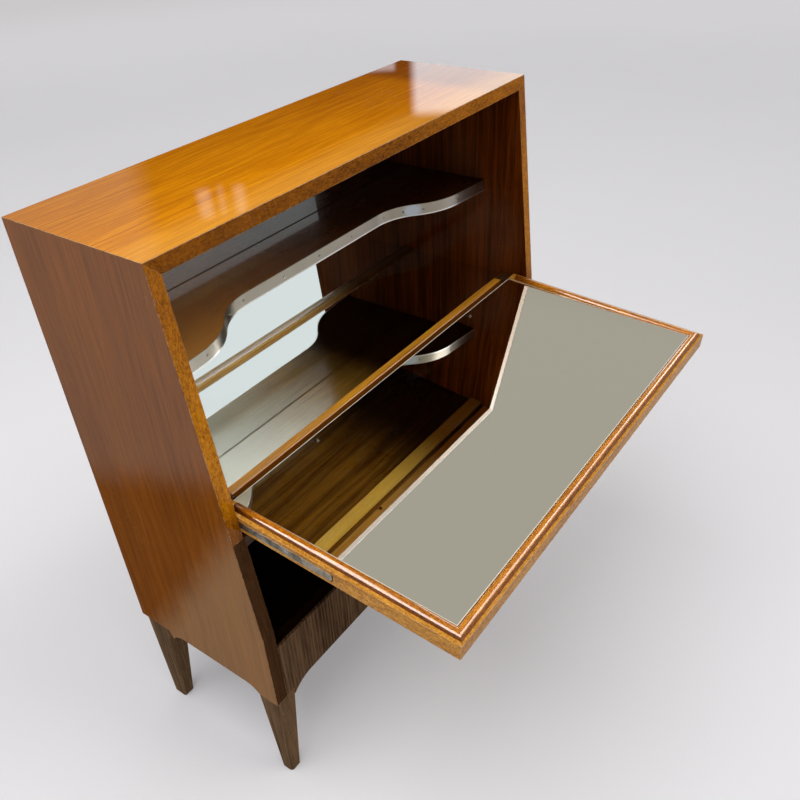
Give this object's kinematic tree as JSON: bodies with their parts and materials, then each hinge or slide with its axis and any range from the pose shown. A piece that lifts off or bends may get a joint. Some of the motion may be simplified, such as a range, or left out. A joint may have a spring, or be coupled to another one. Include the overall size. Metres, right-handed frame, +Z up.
{
  "type": "bar cabinet",
  "caption": "Bar cabinet with a fold-down mirrored flap on heel pivots, a mirror-lined bar with a curved shelf, an open lower compartment and tapered legs.",
  "frame": {"origin": "centre of the footprint of case and open flap, at the floor", "axes": "+Z up, the front and the open flap towards -Y, +X to the right seen from the front"},
  "size_m": [0.9, 0.6862, 0.9992],
  "materials": {
    "top_veneer": "glossy reddish veneer, grain along the width",
    "side_veneer": "glossy reddish-brown veneer, grain upright",
    "edge_wood": "lacquered mottled lipping",
    "dark_wood": "lacquered dark brown hardwood",
    "inner_wood": "lacquered dark red-brown veneer",
    "plain_wood": "plain sawn wood",
    "silvered_glass": "silvered mirror glass",
    "aluminium_strip": "brushed strip",
    "steel": "zinc plated",
    "brass": "worn"
  },
  "bodies": {
    "case": {"apron": "plain_wood", "apron_facing": "side_veneer", "back_mirror_lower": "silvered_glass", "back_mirror_upper": "silvered_glass", "back_moulding": "edge_wood", "back_panel": "plain_wood", "bar_deck": "plain_wood", "closing_batten": "edge_wood", "deck_bearers": "plain_wood", "deck_nosing": "dark_wood", "edging_left": "edge_wood", "edging_right": "edge_wood", "floor_mirror": "silvered_glass", "front_leg_left": "dark_wood", "front_leg_right": "dark_wood", "mid_rail": "dark_wood", "niche_floor": "inner_wood", "niche_top": "inner_wood", "pivot_bush_left": "brass", "pivot_bush_right": "brass", "rear_leg_left": "dark_wood", "rear_leg_right": "dark_wood", "rear_rail": "plain_wood", "shelf": "inner_wood", "shelf_strip": "aluminium_strip", "side_panel_left": "side_veneer", "side_panel_right": "side_veneer", "stile_left": "dark_wood", "stile_right": "dark_wood", "stop_block_left": "dark_wood", "stop_block_right": "dark_wood", "strip_screws": "steel", "top_edging": "edge_wood", "top_panel": "top_veneer"},
    "flap": {"bead_front": "edge_wood", "bead_left": "edge_wood", "bead_right": "edge_wood", "flap_core": "side_veneer", "flap_edge_front": "edge_wood", "flap_edge_left": "edge_wood", "flap_edge_right": "edge_wood", "flap_mirror": "silvered_glass", "hinge_plate_left": "steel", "hinge_plate_right": "steel", "hinge_screws": "steel", "key_bush": "brass", "lock_case": "brass", "mirror_clips": "steel"},
    "lock_bolt": {"lock_bolt": "brass"}
  },
  "joints": [
    {"name": "flap_hinge", "type": "hinge", "parent": "case", "child": "flap", "pos_m": [0, 0.0372, 0.5961], "axis": [-1, 0, 0], "range_deg": [0, 99.45]},
    {"name": "lock_bolt_slide", "type": "slide", "parent": "flap", "child": "lock_bolt", "axis": [0, -0.9979, -0.0645], "range_m": [0, 0.009]}
  ]
}
